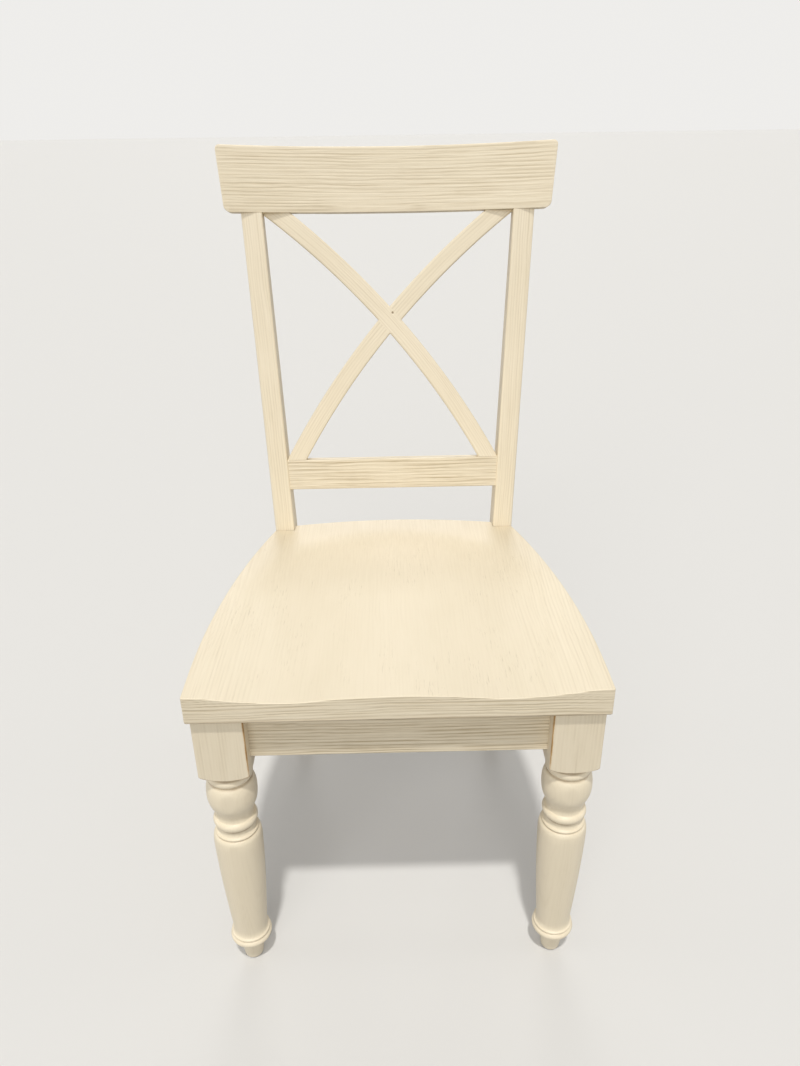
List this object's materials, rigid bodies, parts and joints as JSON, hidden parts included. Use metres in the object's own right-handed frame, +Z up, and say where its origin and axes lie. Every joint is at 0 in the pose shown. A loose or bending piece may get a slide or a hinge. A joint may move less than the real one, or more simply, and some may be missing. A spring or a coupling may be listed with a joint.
{
  "type": "painted cross-back dining chair",
  "caption": "Cream-painted wooden dining side chair with a dished seat, turned front legs, raked rear posts, bowed crest rail and curved X-shaped back braces.",
  "frame": {"origin": "middle of the chair's footprint box, on the floor", "axes": "+Z up, -Y towards the front of the seat, +X to the right of someone who faces the chair's front"},
  "size_m": [0.475, 0.5446, 0.995],
  "materials": {
    "cream_paint": "satin cream paint over wire-brushed wood grain, lightly worn at the edges",
    "bare_wood": "sanded, unfinished",
    "zinc_steel": "bright zinc plated",
    "glide_nylon": "dark moulded nylon"
  },
  "bodies": {
    "root": {"seat": "cream_paint", "crest_rail": "cream_paint", "back_rail": "cream_paint", "brace_left_top": "cream_paint", "brace_right_top": "cream_paint", "rear_post_left": "cream_paint", "rear_post_right": "cream_paint", "front_leg_left": "cream_paint", "front_leg_right": "cream_paint", "front_apron": "cream_paint", "rear_apron": "cream_paint", "side_apron_left": "cream_paint", "side_apron_right": "cream_paint", "corner_block_front_left": "bare_wood", "corner_block_front_right": "bare_wood", "corner_block_rear_left": "bare_wood", "corner_block_rear_right": "bare_wood", "crest_dowels": "bare_wood", "brace_dowels": "bare_wood", "back_rail_dowels": "bare_wood", "front_apron_dowels": "bare_wood", "rear_apron_dowels": "bare_wood", "side_apron_dowels": "bare_wood", "hanger_bolts": "zinc_steel", "bolt_washers": "zinc_steel", "bolt_nuts": "zinc_steel", "corner_block_screws": "zinc_steel", "seat_screws": "zinc_steel", "cross_nail": "zinc_steel", "glide_front_left": "glide_nylon", "glide_front_right": "glide_nylon", "glide_rear_left": "glide_nylon", "glide_rear_right": "glide_nylon"}
  },
  "joints": []
}
